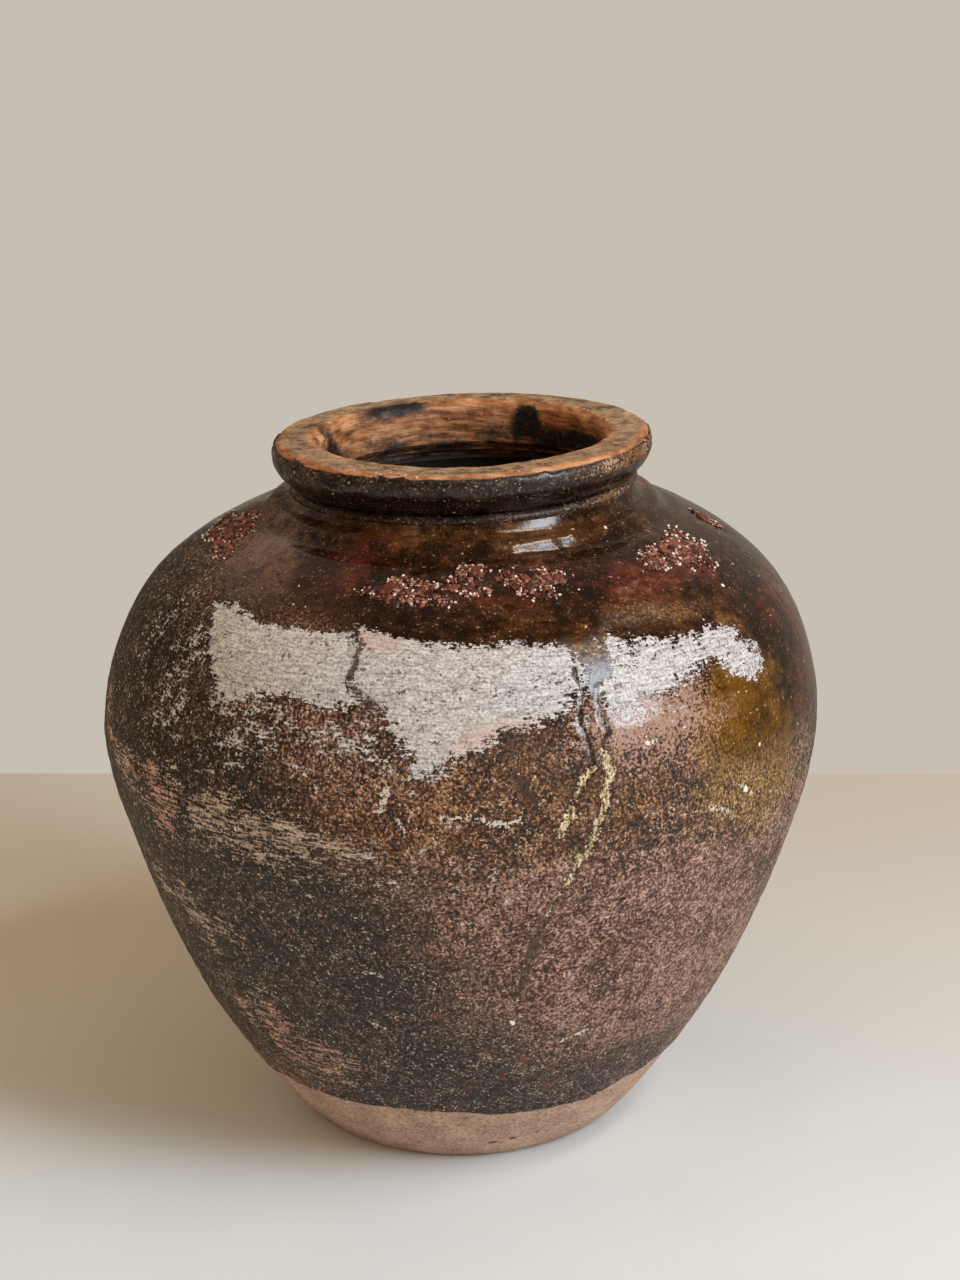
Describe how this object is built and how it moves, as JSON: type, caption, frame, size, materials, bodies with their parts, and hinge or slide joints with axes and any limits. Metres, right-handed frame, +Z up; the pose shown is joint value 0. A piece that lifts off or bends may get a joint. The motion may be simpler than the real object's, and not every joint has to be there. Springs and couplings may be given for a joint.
{
  "type": "martaban jar",
  "caption": "Wide-shouldered stoneware storage jar with a rolled rim, dark iron glaze, bare foot and kiln grit fused to its shoulder.",
  "frame": {"origin": "centre of the foot's resting circle, on the floor", "axes": "+Z up the lower half's axis; +X towards the side whose shoulder and rim stand higher; -Y towards the pictured front"},
  "size_m": [0.3284, 0.3284, 0.327],
  "materials": {
    "bare_clay": "dry, fine-grained fired stoneware",
    "worn_lip_clay": "worn brown clay with an orange edge",
    "matt_iron_glaze": "matt, speckled dark brown, abraded",
    "gloss_iron_glaze": "glossy dark brown with red patches",
    "fused_grit": "coarse red-brown and white grains"
  },
  "bodies": {
    "root": {"base_slab": "bare_clay", "lower_wall": "bare_clay", "upper_wall": "bare_clay", "neck_collar": "bare_clay", "rim_roll": "worn_lip_clay", "body_glaze": "matt_iron_glaze", "shoulder_glaze": "gloss_iron_glaze", "neck_glaze": "gloss_iron_glaze", "kiln_grit": "fused_grit"}
  },
  "joints": []
}
